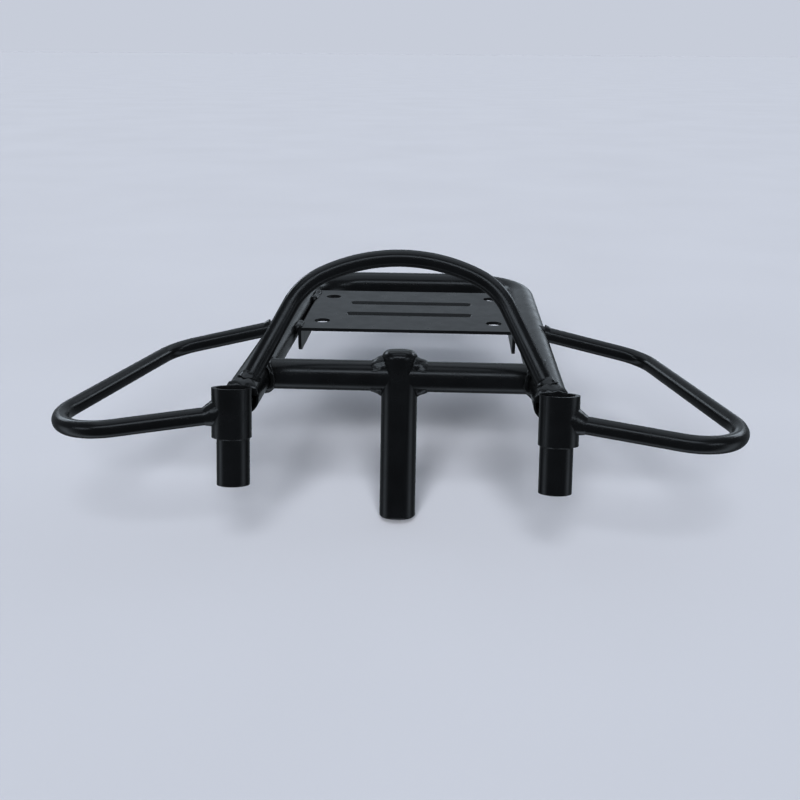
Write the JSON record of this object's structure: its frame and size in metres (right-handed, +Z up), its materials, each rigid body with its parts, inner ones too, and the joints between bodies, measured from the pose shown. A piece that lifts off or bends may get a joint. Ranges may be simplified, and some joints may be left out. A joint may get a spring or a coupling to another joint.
{
  "type": "scooter rear grab rail",
  "caption": "Welded steel tube grab rail for a scooter's tail: a hoop with a folded carrier plate, grab arch, side handles, sleeved stems and centre post.",
  "frame": {"origin": "centre of the centre post's open foot, on the post's axis", "axes": "+Y to the scooter's rear, +Z up and square to the carrier plate, +X to the right when looking to the rear"},
  "size_m": [0.4746, 0.3949, 0.1932],
  "materials": {
    "gloss_black": "gloss black paint",
    "plate_black": "satin black paint",
    "weld_black": "gloss black paint over weld beads"
  },
  "bodies": {
    "root": {"main_hoop": "gloss_black", "centre_post": "gloss_black", "top_arch": "gloss_black", "carrier_plate": "plate_black", "left_cross_tube": "gloss_black", "right_cross_tube": "gloss_black", "left_sleeve": "gloss_black", "right_sleeve": "gloss_black", "left_stem": "gloss_black", "right_stem": "gloss_black", "left_side_handle": "gloss_black", "right_side_handle": "gloss_black", "left_stem_weld": "weld_black", "right_stem_weld": "weld_black", "left_post_weld": "weld_black", "right_post_weld": "weld_black", "left_handle_front_weld": "weld_black", "right_handle_front_weld": "weld_black", "left_handle_rear_weld": "weld_black", "right_handle_rear_weld": "weld_black", "left_arch_weld": "weld_black", "right_arch_weld": "weld_black", "left_cross_weld": "weld_black", "right_cross_weld": "weld_black", "left_hoop_weld": "weld_black", "right_hoop_weld": "weld_black", "left_plate_weld_front": "weld_black", "right_plate_weld_front": "weld_black", "left_plate_weld_rear": "weld_black", "right_plate_weld_rear": "weld_black"}
  },
  "joints": []
}
